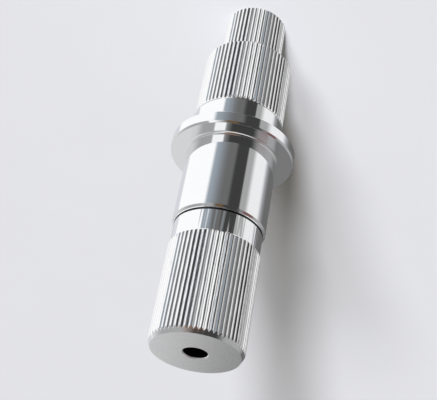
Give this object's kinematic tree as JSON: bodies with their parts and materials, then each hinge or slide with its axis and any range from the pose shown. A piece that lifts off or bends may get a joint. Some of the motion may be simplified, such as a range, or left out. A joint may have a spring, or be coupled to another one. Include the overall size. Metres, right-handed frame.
{
  "type": "splined shaft",
  "caption": "Turned aluminium shaft with a thrust flange, a plain journal and splined seats for press fitting, bored at one end.",
  "frame": {"origin": "centre of the foot, the flat end of the small splined stub, at its lowest point", "axes": "+Z along the shaft axis towards the bored end face"},
  "size_m": [0.0274, 0.0274, 0.087],
  "materials": {
    "aluminium": "turned and polished bright"
  },
  "bodies": {
    "root": {"turned_shaft": "aluminium"}
  },
  "joints": []
}
